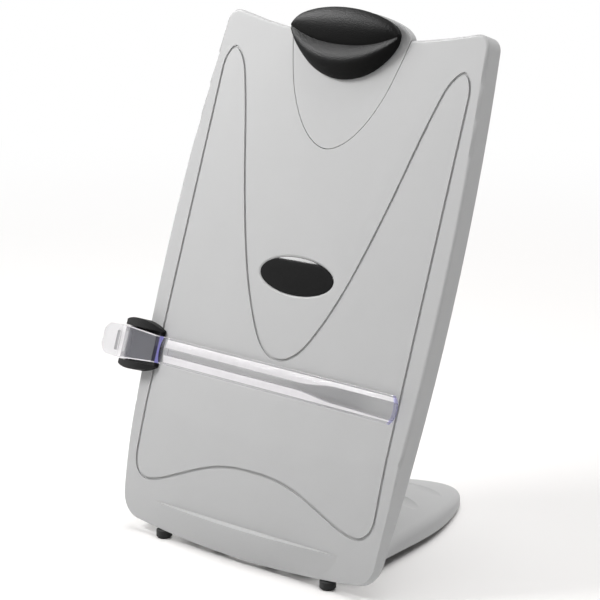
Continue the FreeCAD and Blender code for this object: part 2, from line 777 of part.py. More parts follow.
def clip_lever():
    left = [clip_section(station, -1) for station in clip_stations[:0:-1]]
    right = [clip_section(station, 1) for station in clip_stations]
    lever = Part.makeLoft(left + right, True)
    axis_v = size("clip_axis_v")
    axis_w = size("clip_axis_w")
    room = box(-26, 26, axis_v - 9.5, axis_v + 9.5, -1, axis_w + size("clip_ear_radius") + 0.35)
    lever = lever.cut(room)
    lugs = []
    for u0, u1 in ((-23.5, -19.4), (19.4, 23.5)):
        lugs.append(rod(2.3, Vector(u0, axis_v, axis_w), Vector(u1, axis_v, axis_w)))
        lugs.append(box(u0, u1, axis_v - 2.3, axis_v + 2.3, axis_w, axis_w + size("clip_ear_radius") + 0.6))
    lever = union([lever] + lugs)
    return lever.cut(rod(size("clip_pin_radius") + size("pin_gap"), Vector(-24.5, axis_v, axis_w),
                         Vector(24.5, axis_v, axis_w))).removeSplitter()


def lip_region(shift):
    """The area above the clip's lip line, closed by a chord, with its lip moved up by shift."""
    stations = clip_stations[3::-1]
    points = [flat(s["u"] * size("clip_half_width"), size("clip_lip") + s["lip"] + shift) for s in stations]
    chord = line(points[0], flat(-points[0].x, points[0].y))
    return both_halves(points, Vector(-1, -1.1, 0), Vector(-1, 0, 0)) + [chord]


def clip_jaw_pad():
    """A rubber strip under the lip that presses on the page."""
    lip = size("clip_lip")
    strip_block = prism(lip_region(1.2), 0.35, 1.3).cut(prism(lip_region(5.2), 0, 2))
    return strip_block.common(box(-22, 22, lip - 2, lip + 10, 0, 2))


def clip_spring():
    """A leaf that pushes the upper half of the lever away from the tongue."""
    axis_v = size("clip_axis_v")
    return strip([(axis_v - 11.5, 0.22), (axis_v - 2, 0.22), (axis_v + 9, 6.0)], 0.4, 4.0)


# Slider clamp: a front saddle with two cheeks, and a rear jaw
def slider_outline():
    centre = size("slider_centre")
    half = 0.5 * size("slider_height")
    outer = -size("slider_outer")
    inner = -size("slider_inner")
    ridge = outer + 0.45 * (inner - outer)
    return [
        arc(flat(outer, centre + half - 2.0), flat(ridge, centre + half), flat(inner, centre + half - 4.5)),
        line(flat(inner, centre + half - 4.5), flat(inner, centre - half + 4.5)),
        arc(flat(inner, centre - half + 4.5), flat(ridge, centre - half), flat(outer, centre - half + 2.0)),
        line(flat(outer, centre - half + 2.0), flat(outer, centre + half - 2.0)),
    ]


def cheek_crown():
    """The arched front of the slider, seen along the panel's edge."""
    outer = -size("slider_outer")
    inner = -size("slider_inner")
    front = size("slider_front")

    def at(u, w):
        return Vector(u, 0, w)

    back = -size("panel_depth") - 10
    crown = arc(at(outer, front - 2.4), at(outer + 0.42 * (inner - outer), front), at(inner, 2.6))
    corner = [at(inner, 2.6), at(inner, back), at(outer, back), at(outer, front - 2.4)]
    face = Part.Face(Part.Wire([crown] + [line(a, b) for a, b in zip(corner, corner[1:])]))
    return face.extrude(Vector(0, 400, 0))


def guide_bay():
    """The bay between the cheeks that the clear saddle lies in."""
    reach = 0.5 * size("tab_height") + size("guide_gap")
    return size("guide_centre") - reach, size("guide_centre") + reach


def slider_inner_face():
    return -size("panel_half_width") - size("slider_web_gap")


def slider_front():
    split = -size("slider_split")
    body = prism(slider_outline(), split, 20).common(cheek_crown())
    low, high = guide_bay()
    foot = -size("guide_bend") - size("guide_plate") - size("guide_gap")
    bay = union([box(-200, 0, low, high, size("slider_bed"), 30),
                 box(foot, 0, low, high, size("guide_rise") - size("guide_gap"), 30)])
    panel_room = box(slider_inner_face(), 0, -50, 500, -30, size("slider_gap"))
    body = body.cut([bay, panel_room])
    axis_u = -size("guide_axis_u")
    axis_w = size("guide_axis_w")
    pin = rod(size("guide_pin_radius") + size("pin_gap"), Vector(axis_u, low - 3.4, axis_w),
              Vector(axis_u, high + 3.4, axis_w))
    coil_room = rod(2.1, Vector(axis_u, high - 1, axis_w), Vector(axis_u, high + 3.0, axis_w))
    knuckle_room = rod(3.1, Vector(axis_u, low, axis_w), Vector(axis_u, high, axis_w))
    holes = [rod(size("screw_radius") + size("pin_gap"), p + Vector(0, 0, split - 1), p + Vector(0, 0, 1.0))
             for p in slider_screw_places()]
    return body.cut([pin, coil_room, knuckle_room] + holes).removeSplitter()


def slider_screw_places():
    u = 0.5 * (slider_inner_face() - size("slider_outer"))
    return [flat(u, size("slider_centre") + rise) for rise in (-9.5, 9.5)]


def slider_rear():
    split = -size("slider_split")
    depth = size("panel_depth")
    back = -depth - size("slider_gap") - size("slider_jaw")
    body = prism(slider_outline(), back, split)
    room = box(slider_inner_face(), 0, -50, 400, -depth - size("slider_gap"), 0)
    narrow = box(-200, -size("slider_inner") - 4, -50, 400, -40, 10)
    body = body.cut(room).common(narrow)
    centre = size("slider_centre")
    pad_seat = box(slider_inner_face() + 3, -size("slider_inner") - 6, centre - 9, centre + 9,
                   -depth - size("slider_gap") - 1.0, 0)
    holes = []
    for place in slider_screw_places():
        holes.append(rod(size("screw_radius") + 0.2, place + Vector(0, 0, back - 1), place + Vector(0, 0, split + 1)))
        holes.append(rod(size("screw_head_radius") + 0.2, place + Vector(0, 0, back - 1),
                         place + Vector(0, 0, back + size("screw_head"))))
    return body.cut([pad_seat] + holes).removeSplitter()


def slider_screws():
    back = -size("panel_depth") - size("slider_gap") - size("slider_jaw")
    return Part.makeCompound([screw(14.0, p + Vector(0, 0, back + size("screw_head"))) for p in slider_screw_places()])


def slider_pad():
    centre = size("slider_centre")
    depth = size("panel_depth")
    seat = -depth - size("slider_gap") - 1.0
    return box(slider_inner_face() + 3.1, -size("slider_inner") - 6.1, centre - 8.9, centre + 8.9, seat, -depth - 0.2)


# Line guide: thumb tab, saddle and see-through bar in one clear piece
def bar_section(u):
    centre = size("guide_centre")
    half = 0.5 * size("guide_height")
    low = size("guide_rise")
    edge = low + size("guide_edge")
    crown = low + size("guide_crown")

    def at(v, w):
        return Vector(u, centre + v, w)

    front = arc(at(half, edge), at(0, crown), at(-half, edge))
    corner = [at(-half, edge), at(-half, low), at(half, low), at(half, edge)]
    return Part.Face(Part.Wire([front] + [line(a, b) for a, b in zip(corner, corner[1:])]))


def line_guide():
    plate = size("guide_plate")
    top = size("guide_top")
    bend_u = -size("guide_bend")
    outer = -size("guide_axis_u") - 2.6
    reach = -size("tab_reach")
    middle = size("guide_centre")
    half = 0.5 * size("tab_height")
    bar_half = 0.5 * size("guide_height")
    bar = bar_section(bend_u - plate).extrude(Vector(size("guide_end") - bend_u + plate, 0, 0))
    round_u = size("guide_end") - size("guide_end_radius")
    tip = rod(size("guide_end_radius"), Vector(round_u, middle, -5), Vector(round_u, middle, 20))
    left_room = box(-200, round_u, 0, 300, -5, 20)
    bar = bar.common(tip.fuse(left_room))
    bar.rotate(Vector(bend_u, middle, 0), Vector(0, 0, 1), -size("guide_droop"))
    saddle = [flat(outer, middle - half), flat(bend_u, middle - bar_half), flat(bend_u, middle + bar_half),
              flat(outer, middle + half)]
    saddle_face = [line(a, b) for a, b in zip(saddle, saddle[1:] + saddle[:1])]
    saddle_plate = prism(saddle_face, top - plate, top)
    riser = box(bend_u - plate, bend_u, middle - bar_half, middle + bar_half, size("guide_rise"), top - 0.5)
    corner = 5.0
    tab_edges = [
        line(flat(outer + 1, middle + half), flat(reach + corner, middle + half - 0.6)),
        arc(flat(reach + corner, middle + half - 0.6), flat(reach + 0.6, middle + 0.62 * half), flat(reach, middle)),
        arc(flat(reach, middle), flat(reach + 0.6, middle - 0.62 * half), flat(reach + corner, middle - half + 0.6)),
        line(flat(reach + corner, middle - half + 0.6), flat(outer + 1, middle - half)),
        line(flat(outer + 1, middle - half), flat(outer + 1, middle + half)),
    ]
    tab = prism(tab_edges, top - plate, top)
    rib = box(outer - 3.6, outer - 1.0, middle - 6.2, middle + 6.2, top - 0.2, top + 1.0)
    axis_u = -size("guide_axis_u")
    axis_w = size("guide_axis_w")
    knuckles = []
    for v0, v1 in ((middle - half, middle - half + 4), (middle + half - 4, middle + half)):
        knuckles.append(rod(2.6, Vector(axis_u, v0, axis_w), Vector(axis_u, v1, axis_w)))
        knuckles.append(box(axis_u - 2.6, axis_u + 2.6, v0, v1, axis_w, top - plate + 0.2))
    guide = union([bar, saddle_plate, riser, tab, rib] + knuckles)
    bore = rod(size("guide_pin_radius") + size("pin_gap"), Vector(axis_u, middle - half - 1, axis_w),
               Vector(axis_u, middle + half + 1, axis_w))
    return guide.cut(bore).removeSplitter()


def guide_spring():
    """The small coil round the guide's pin, in the upper cheek: close turns, each drawn as a ring."""
    _, high = guide_bay()
    thickness = 0.4
    along = Vector(0, 1, 0)
    first = Vector(-size("guide_axis_u"), high + 0.3, size("guide_axis_w"))
    return union([Part.makeTorus(1.6, 0.5 * thickness, first + along * (0.36 * turn), along) for turn in range(7)])


# Base plate in its own frame: y runs back from the hinge pin, z is up
def base_edges(inset=0.0):
    half = size("base_half_width") - inset
    length = size("base_length") - 1.3 * inset
    start = size("base_start") + inset
    side = [flat(half, start), flat(0.875 * half, 0.255 * length), flat(0.715 * half, 0.54 * length),
            flat(0.447 * half, 0.814 * length), flat(0, length)]
    return both_halves(side, Vector(-0.2, 1, 0), Vector(-1, 0, 0)) + [line(flat(-half, start), flat(half, start))]


def base_crown(drop):
    """The crowned body under the plate's top: a barrel, lowered by drop."""
    end = size("base_length") + 5
    crown = size("base_crown") - drop
    sunk = size("base_crown_radius")
    radius = size("base_crown_line_radius")
    middle = size("base_crown_line_centre")

    def height(y):
        return crown - radius + math.sqrt(radius ** 2 - (y - middle) ** 2)

    def at(y, z):
        return Vector(0, y, z)

    top = arc(at(-10, height(-10)), at(middle, crown), at(end, height(end)))
    corner = [at(end, height(end)), at(end, crown - sunk), at(-10, crown - sunk), at(-10, height(-10))]
    face = Part.Face(Part.Wire([top] + [line(a, b) for a, b in zip(corner, corner[1:])]))
    sweep = 40.0
    face.rotate(at(0, crown - sunk), Vector(0, 1, 0), -sweep / 2)
    return face.revolve(at(0, crown - sunk), Vector(0, 1, 0), sweep)


def base_plate():
    low = -size("base_under")
    wall = size("base_wall")
    solid = prism(base_edges(), low, 20).common(base_crown(0))
    top_rim = [e for e in solid.Edges if e.CenterOfMass.z > low + 1.5 and e.CenterOfMass.y > size("base_start") + 1
               and abs(e.tangentAt(e.FirstParameter).z) < 0.9]
    solid = solid.makeFillet(size("base_edge_radius"), top_rim)
    hollow = prism(base_edges(wall), low - 1, 20).common(base_crown(wall))
    shell = solid.cut(hollow)
    inner = size("lug_inner")
    lugs = []
    for u0 in (-inner - size("lug_width"), inner):
        u1 = u0 + size("lug_width")
        lugs.append(rod(size("hinge_radius"), Vector(u0, 0, 0), Vector(u1, 0, 0)))
        lugs.append(box(u0, u1, 0, size("base_start") + wall, -size("hinge_radius"), size("hinge_radius")))
    toe_reach = stop_toe_reach()
    toes = [box(u0, u0 + 12, -toe_reach, size("base_start") + wall, low, low + 2.4) for u0 in (-26, 14)]
    bosses = [rod(3.6, p + Vector(0, 0, low + 2.2), p + Vector(0, 0, size("base_crown") - 1.6))
              for p in base_screw_places()]
    bosses = [b.common(base_crown(0.8)) for b in bosses]
    ribs = [box(-1, 1, size("base_start") + 1, 150, 1.5, size("base_crown")).common(base_crown(1.0)).common(
        prism(base_edges(), low, 20))]
    shell = union([shell] + lugs + toes + bosses + ribs)
    bore = size("hinge_pin_radius") + size("pin_gap")
    cuts = [rod(bore, Vector(-90, 0, 0), Vector(90, 0, 0)).common(box(-inner - 12, inner + 12, -9, 9, -9, 9))]
    cuts += [rod(size("screw_radius") + size("pin_gap"), p + Vector(0, 0, low), p + Vector(0, 0, low + 9))
             for p in base_screw_places()]
    for u0, u1 in ear_spans():
        slot_reach = size("hinge_radius") + 1.0
        for low_u in (u0 - size("washer"), -u1 - size("washer")):
            cuts.append(box(low_u, low_u + size("ear_width") + 2 * size("washer"), -9, slot_reach, -9, 20))
    cuts += scoops()
    return shell.cut(cuts).removeSplitter()


def stop_toe_reach():
    """How far the toes reach forward of the pin, so that their upper corners stop on the panel's back."""
    to_back = abs(hinge_axis_in_panel().z) - size("panel_depth") - 0.1
    turn = lean - math.radians(size("base_tilt"))
    return (to_back - (2.4 - size("base_under")) * math.sin(turn)) / math.cos(turn)


def base_screw_places():
    return [flat(-40, 40), flat(40, 40), flat(-30, 112), flat(30, 112)]


def scoops():
    """Two pairs of shallow tapered finger scoops across the plate, which curve with its tip."""
    crown = size("base_crown")
    made = []
    for x, y, level, reach in ((27, 96, -2.4, 22), (14, 132, -4.6, 18)):
        for side in (-1, 1):
            scoop = ellipsoid(Vector(0, 0, 0), (reach, 6.0, 1.7))
            scoop.Placement = Placement(Vector(side * x, y, crown + level), Rotation(Vector(0, 0, 1), -side * 17))
            made.append(scoop)
    return made


def base_underside():
    low = -size("base_under")
    plate = prism(base_edges(size("base_wall") + 0.15), low, low + 2.0).common(base_crown(size("base_wall") + 0.3))
    holes = []
    for place in base_screw_places():
        holes.append(rod(size("screw_radius") + 0.2, place + Vector(0, 0, low - 1), place + Vector(0, 0, low + 4)))
        holes.append(rod(size("screw_head_radius") + 0.2, place + Vector(0, 0, low - 1), place + Vector(0, 0, low + 1.1)))
    rooms = [foot_room(place, 6.0, 0.15) for _, place in rear_foot_places()]
    for room in rooms:
        room.Placement = base_frame.inverse().multiply(room.Placement)
    return plate.cut(holes + rooms).removeSplitter()


def base_screws():
    low = -size("base_under")
    return Part.makeCompound([screw(7.0, p + Vector(0, 0, low + 1.1)) for p in base_screw_places()])


def hinge_pins():
    inner = size("lug_inner") - size("washer") - size("ear_width")
    outer = size("lug_inner") + size("lug_width") + size("washer") + size("ear_width")
    pins = [rod(size("hinge_pin_radius"), Vector(side * inner, 0, 0), Vector(side * outer, 0, 0)) for side in (-1, 1)]
    return Part.makeCompound(pins)


def hinge_washers():
    inner = size("lug_inner")
    outer = inner + size("lug_width")
    gap = size("washer")
    rings = []
    for u0 in (inner - gap, outer, -inner, -outer - gap):
        start = Vector(u0 + 0.05, 0, 0)
        end = Vector(u0 + gap - 0.05, 0, 0)
        rings.append(rod(size("hinge_radius") - 0.6, start, end).cut(rod(size("hinge_pin_radius") + 0.1, start, end)))
    return Part.makeCompound(rings)


# Rubber feet: a body each, turned about its own upright axis
def rubber_foot(label, stem_top):
    body = doc.addObject("PartDesign::Body", label)
    sketch = body.newObject("Sketcher::SketchObject", label + "_profile")
    sketch.AttachmentSupport = [(origin_plane(body, "XZ_Plane"), "")]
    sketch.MapMode = "FlatFace"
    head = size("foot_radius")
    stem = size("foot_stem_radius")
    shoulder = 0.55 * stem_top - 0.05
    bevel = 1.1
    points = [Vector(0, 0, 0), Vector(head - bevel, 0, 0), Vector(head, bevel, 0), Vector(head, shoulder, 0),
              Vector(stem, shoulder, 0), Vector(stem, stem_top, 0), Vector(0, stem_top, 0)]
    for a, b in zip(points, points[1:] + points[:1]):
        sketch.addGeometry(Part.LineSegment(a, b), False)
    count = len(points)
    sketch.addConstraint([Sketcher.Constraint("Coincident", i, 2, (i + 1) % count, 1) for i in range(count)])
    turn = body.newObject("PartDesign::Revolution", label + "_turn")
    turn.Profile = sketch
    turn.ReferenceAxis = (sketch, ["V_Axis"])
    turn.Angle = 360.0
    return body


def cylinder(label, radius, height, place):
    """A plain pin whose two sizes are held by the sheet."""
    part = doc.addObject("Part::Cylinder", label)
    part.setExpression("Radius", radius)
    part.setExpression("Height", height)
    part.Placement = place
    return part


# The sub-parts, each in the frame that it was drawn in
feature("front_shell", front_shell(), panel_frame)
feature("rear_cover", rear_cover(), panel_frame)
feature("cover_screws", cover_screws(), panel_frame)
feature("badge_insert", badge_insert(), panel_frame)
keep(tongue_track(), panel_frame)
feature("track_screws", track_screws(), panel_frame)
feature("detent_spring", detent_spring(), panel_frame)
for side_name, place in front_foot_places():
    keep(rubber_foot("front_foot_" + side_name, size("front_foot_top")), Placement(place, Rotation()))

feature("tongue_plate", tongue_plate(), panel_frame)
keep(tongue_runner(), panel_frame)
feature("runner_screws", runner_screws(), panel_frame)
along_u = Rotation(Vector(0, 0, 1), Vector(1, 0, 0))
pin_start = Vector(-size("clip_pin_half_length"), size("clip_axis_v"), size("clip_axis_w"))
keep(cylinder("clip_pin", "sizes.clip_pin_radius", "2 * sizes.clip_pin_half_length", Placement(pin_start, along_u)),
     panel_frame)
feature("clip_spring", clip_spring(), panel_frame)
feature("clip_lever", clip_lever(), panel_frame)
feature("clip_jaw_pad", clip_jaw_pad(), panel_frame)

feature("slider_front", slider_front(), panel_frame)
feature("slider_rear", slider_rear(), panel_frame)
feature("slider_screws", slider_screws(), panel_frame)
feature("slider_pad", slider_pad(), panel_frame)
along_v = Rotation(Vector(0, 0, 1), Vector(0, 1, 0))
bay_low, bay_high = guide_bay()
guide_pin_start = Vector(-size("guide_axis_u"), bay_low - 3.3, size("guide_axis_w"))
guide_pin = cylinder("guide_pin", "sizes.guide_pin_radius",
                     "sizes.tab_height + 2 * sizes.guide_gap + 6.6", Placement(guide_pin_start, along_v))
keep(guide_pin, panel_frame)
feature("guide_spring", guide_spring(), panel_frame)
feature("line_guide", line_guide(), panel_frame)

feature("base_plate", base_plate(), base_frame)
feature("base_underside", base_underside(), base_frame)
feature("base_screws", base_screws(), base_frame)
feature("hinge_pins", hinge_pins(), base_frame)
feature("hinge_washers", hinge_washers(), base_frame)
for side_name, place in rear_foot_places():
    keep(rubber_foot("rear_foot_" + side_name, 6.0), Placement(place, Rotation()))

doc.recompute()

# The origin is on the ground under the middle of the whole object
whole = FreeCAD.BoundBox()
for part in nodes:
    whole.add(part.Shape.optimalBoundingBox(False, False))
shift = Vector(-whole.Center.x, -whole.Center.y, 0)
for part in nodes:
    part.Placement = Placement(shift, Rotation()).multiply(part.Placement)
doc.recompute()

failed = [o.Label for o in doc.Objects if "Invalid" in o.State or "Error" in o.State]
failed += [p.Label for p in nodes if p.Shape.isNull() or not p.Shape.isValid() or not p.Shape.Solids]
if failed:
    raise SystemExit("not built: " + ", ".join(failed))

os.makedirs("parts", exist_ok=True)
for part in nodes:
    part.Shape.exportStep(os.path.join("parts", part.Label + ".step"))

print("shift", shift, "low", whole.ZMin, "size", whole.XLength, whole.YLength, whole.ZLength)
for name, local in (("clip_axis", Vector(0, size("clip_axis_v"), size("clip_axis_w"))),
                    ("guide_axis", Vector(-size("guide_axis_u"), size("slider_centre"), size("guide_axis_w")))):
    print(name, panel_frame.multVec(local) + shift)
print("hinge_axis", base_frame.Base + shift)
print("up the face", panel_frame.Rotation.multVec(Vector(0, 1, 0)))
for part in nodes:
    print(part.Label, len(part.Shape.Solids), round(part.Shape.Volume, 1))
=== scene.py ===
import json
import math
import bmesh
import bpy
from mathutils import Matrix, Vector

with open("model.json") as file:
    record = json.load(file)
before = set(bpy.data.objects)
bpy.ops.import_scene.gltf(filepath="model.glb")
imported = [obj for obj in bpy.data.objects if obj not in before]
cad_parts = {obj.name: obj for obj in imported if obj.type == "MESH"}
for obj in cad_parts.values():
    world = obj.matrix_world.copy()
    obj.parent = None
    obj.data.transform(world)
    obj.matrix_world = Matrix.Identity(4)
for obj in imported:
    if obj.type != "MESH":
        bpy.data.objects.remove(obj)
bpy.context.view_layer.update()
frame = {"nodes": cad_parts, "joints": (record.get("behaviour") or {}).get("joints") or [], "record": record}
print("frame loaded")

# The panel: its lean in degrees, and the clip's pivot in metres from its foot, the bottom middle of its face
panel = dict(lean=18.7, pivotUp=0.313, pivotOut=0.0034)
leanAngle = math.radians(panel["lean"])
acrossFace = Vector((1, 0, 0))
upFace = Vector((0, math.sin(leanAngle), math.cos(leanAngle)))
outOfFace = Vector((0, -math.cos(leanAngle), math.sin(leanAngle)))
clipPivot = next(Vector(joint["pos_m"]) for joint in frame["joints"] if joint["name"] == "clip_pivot")
panelFoot = clipPivot - panel["pivotUp"] * upFace - panel["pivotOut"] * outOfFace


# Shader maths: a socket that can be added, multiplied and so on
class Signal:
    def __init__(self, graph, socket):
        self.graph = graph
        self.socket = socket

    def maths(self, operation, *values):
        return self.graph.node("ShaderNodeMath", {"operation": operation}, values)

    def __add__(self, other):
        return self.maths("ADD", self, other)

    def __radd__(self, other):
        return self.maths("ADD", other, self)

    def __sub__(self, other):
        return self.maths("SUBTRACT", self, other)

    def __rsub__(self, other):
        return self.maths("SUBTRACT", other, self)

    def __mul__(self, other):
        return self.maths("MULTIPLY", self, other)

    def __rmul__(self, other):
        return self.maths("MULTIPLY", other, self)

    def __abs__(self):
        return self.maths("ABSOLUTE", self)

    def rise(self, low, high):
        # 0 below low, 1 above high and a soft rise between them
        return self.graph.node("ShaderNodeMapRange", {"interpolation_type": "SMOOTHSTEP"}, {
            "Value": self, "From Min": low, "From Max": high})

    def past(self, edge, soft):
        return self.rise(edge - soft, edge + soft)

    def band(self, low, high, soft):
        return self.past(low, soft) * (1 - self.past(high, soft))


class Graph:
    def __init__(self, tree):
        self.tree = tree

    def node(self, kind, settings=None, inputs=(), output=0):
        made = self.tree.nodes.new(kind)
        for key, value in (settings or {}).items():
            setattr(made, key, value)
        pairs = inputs.items() if isinstance(inputs, dict) else enumerate(inputs)
        for key, value in pairs:
            if isinstance(value, Signal):
                self.tree.links.new(value.socket, made.inputs[key])
            else:
                made.inputs[key].default_value = value
        return Signal(self, made.outputs[output])

    def backdropRays(self):
        # 1 for rays that show the background: seen, mirrored or through clear plastic
        seen, mirrored, through = (
            self.node("ShaderNodeLightPath", output="Is " + kind + " Ray")
            for kind in ("Camera", "Glossy", "Transmission"))
        clamped = {"operation": "ADD", "use_clamp": True}
        return self.node("ShaderNodeMath", clamped, (seen + mirrored, through))


class Finish(Graph):
    def __init__(self, name, **constants):
        self.material = bpy.data.materials.new(name)
        self.material.use_nodes = True
        super().__init__(self.material.node_tree)
        self.shader = self.tree.nodes["Principled BSDF"]
        for socketName, value in constants.items():
            self.shader.inputs[socketName.replace("_", " ")].default_value = value

    def feed(self, socketName, signal):
        self.tree.links.new(signal.socket, self.shader.inputs[socketName])

    def place(self):
        return self.node("ShaderNodeTexCoord", output="Object")

    def along(self, direction):
        # millimetres from the panel's foot in one direction
        offset = self.node("ShaderNodeVectorMath", {"operation": "SUBTRACT"}, (self.place(), panelFoot))
        run = self.node("ShaderNodeVectorMath", {"operation": "DOT_PRODUCT"}, (offset, direction), "Value")
        return run * 1000

    def noise(self, scale, detail=2.0, roughness=0.5):
        return self.node("ShaderNodeTexNoise", inputs={
            "Vector": self.place(), "Scale": scale, "Detail": detail, "Roughness": roughness})

    def bump(self, height, distance, strength):
        self.feed("Normal", self.node("ShaderNodeBump", inputs={
            "Height": height, "Distance": distance, "Strength": strength}))

    def mix(self, mask, lowColour, highColour):
        return self.node("ShaderNodeMix", {"data_type": "RGBA"}, {
            "Factor": mask, 6: lowColour, 7: highColour}, 2)

    def tint(self, mask, lowColour, highColour):
        self.feed("Base Color", self.mix(mask, lowColour, highColour))


def grey(level):
    return (level, level, level, 1)


# Plain moulded plastic: grey for the shells, darker for the track and near white for the washers
moulded = dict(
    shellLevel=0.515, trackLevel=0.12, washerLevel=0.72, spread=0.011, shine=0.10, patchScale=38,
    grainScale=2600, grainDepth=0.00004, grainStrength=0.35,
    roughness=0.40, grainRoughness=0.10, patchRoughness=0.06)


def mouldedGrey(name, level):
    finish = Finish(name, Specular_IOR_Level=moulded["shine"])
    grain = finish.noise(moulded["grainScale"], 3.0, 0.6)
    patches = finish.noise(moulded["patchScale"], 3.0)
    finish.tint(patches, grey(level - moulded["spread"]), grey(level + moulded["spread"]))
    finish.feed("Roughness", moulded["roughness"] + moulded["grainRoughness"] * grain
                + moulded["patchRoughness"] * patches)
    finish.bump(grain, moulded["grainDepth"], moulded["grainStrength"])
    return finish.material


# The black clip and slider: the slider, left of sliderEdge, is a little less deep a black
pebbled = dict(
    clipLevel=0.004, sliderLevel=0.021, sliderEdge=-90, darkest=0.8, lightest=1.25, shine=0.06,
    pebbleScale=1300, fineScale=2210, fineDepth=0.35, depth=0.00026, strength=0.55,
    roughness=0.42, spread=0.14)


def pebbledBlack():
    finish = Finish("pebbledBlack", Specular_IOR_Level=pebbled["shine"])
    cells = finish.node("ShaderNodeTexVoronoi", {"feature": "SMOOTH_F1"}, {
        "Vector": finish.place(), "Scale": pebbled["pebbleScale"], "Smoothness": 0.6})
    fine = finish.noise(pebbled["fineScale"])
    sliderTone, clipTone = (
        finish.mix(fine, grey(level * pebbled["darkest"]), grey(level * pebbled["lightest"]))
        for level in (pebbled["sliderLevel"], pebbled["clipLevel"]))
    finish.tint(finish.along(acrossFace).past(pebbled["sliderEdge"], 1), sliderTone, clipTone)
    finish.feed("Roughness", pebbled["roughness"] + pebbled["spread"] * fine)
    finish.bump(pebbled["fineDepth"] * fine - cells, pebbled["depth"], pebbled["strength"])
    return finish.material


badge = dict(darkest=0.008, lightest=0.013, shine=0.05, coat=0.10, coatRoughness=0.02,
             hazeScale=420, roughness=0.07, spread=0.05)


def glossBlack():
    finish = Finish("glossBlack", Specular_IOR_Level=badge["shine"], Coat_Weight=badge["coat"],
                    Coat_Roughness=badge["coatRoughness"])
    haze = finish.noise(badge["hazeScale"], 3.0)
    finish.tint(haze, grey(badge["darkest"]), grey(badge["lightest"]))
    finish.feed("Roughness", badge["roughness"] + badge["spread"] * haze)
    return finish.material


# The clear line guide, in millimetres across from the panel's middle, up its face and out of it
lineGuide = dict(
    middle=107.9, barStart=-92.4, barEdge=7.9, droopStart=-92.5, droop=0.0117,
    endCentre=88.2, endRadius=10.35, endFrom=91,
    bandStart=-87.6, glowWidth=0.7, upperInner=1.95, upperOuter=7.2, lowerInner=2.25, lowerOuter=6.9,
    upperNarrows=24, lowerNarrows=22, narrowed=54, narrowing=2.6, tip=95, tipNarrowing=0.8,
    saddleStart=-119.6, saddleOuter=-121.8, saddleEdge=9.65, saddleTaper=0.07,
    ribLeft=-125.5, ribRight=-122.9, ribReach=6.2, stripeLeft=-122.6, stripeRight=-119.8,
    foldLeft=-95.2, foldRight=-92.3, violetLow=3.4, violetTop=6.6, shadeLow=6.85, shadeTop=9.45,
    thickFrom=-10, thickTo=50, thinFrom=64, thinTo=86,
    fine=0.15, plain=0.25, wide=0.55, barRimTone=0.8, endViolet=0.6,
    shine=0.02, streakScale=240, streakDepth=0.00002, streakStrength=0.2, roughness=0.05, spread=0.06)
# What the guide shows, each layer over the ones before it (the bright, upper and violet layers are painted
# reflections, highlights and glint, the shade layer is painted shade), and how much of each place hides what
# is behind
guideBase = (0.21, 0.21, 0.23, 1)
guideLayers = dict(
    bar=(0.12, 0.12, 0.13, 1), tab=(0.58, 0.57, 0.60, 1), shade=(0.06, 0.06, 0.07, 1),
    rib=(0.24, 0.24, 0.25, 1), paintedHighlights=(0.84, 0.82, 0.84, 1), upperReflection=(0.73, 0.715, 0.73, 1),
    violetGlint=(0.34, 0.32, 0.72, 1))
guideClearest = 0.06
guideHiding = dict(
    thicker=0.12, thinner=-0.08, saddle=0.46, tab=0.24, reflectionBands=0.68, streakedReflections=0.1, barRimHighlight=0.4,
    saddleRimHighlight=0.35, violetGlint=0.6, shade=0.4, rib=0.35)


